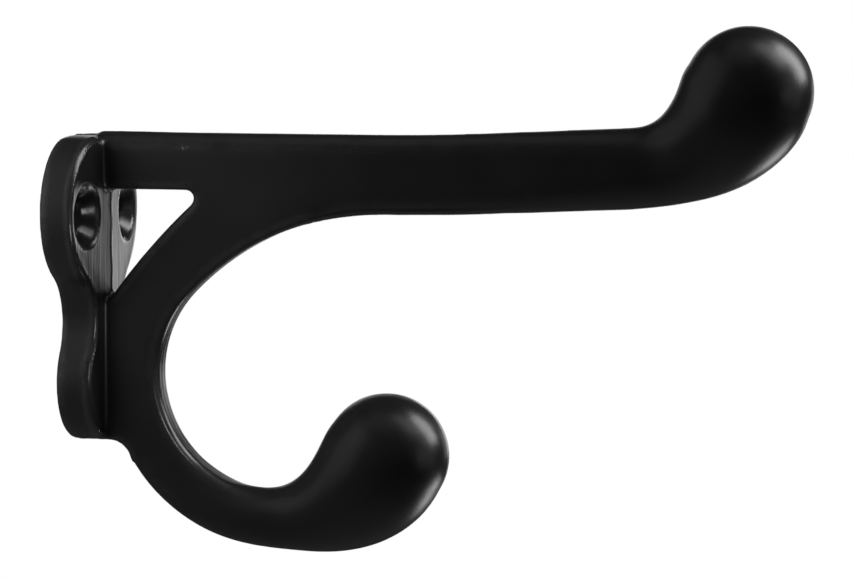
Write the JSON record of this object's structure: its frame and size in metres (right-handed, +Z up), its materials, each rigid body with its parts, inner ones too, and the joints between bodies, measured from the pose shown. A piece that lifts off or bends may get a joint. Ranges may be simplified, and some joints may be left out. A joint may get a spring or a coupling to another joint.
{
  "type": "double robe hook",
  "caption": "Black cast wall hook: a waisted screw plate carries a long upper arm with an upturned ball end and, below it, a short curled hook that ends in a ball.",
  "frame": {"origin": "on the wall plane, midway between the screw holes", "axes": "+Y into the wall, so the hook stands out towards -Y; +Z up; X across the plate, from screw hole to screw hole"},
  "size_m": [0.032, 0.1146, 0.0805],
  "materials": {
    "black_finish": "satin black paint on a cast surface"
  },
  "bodies": {
    "root": {"double_hook": "black_finish"}
  },
  "joints": []
}
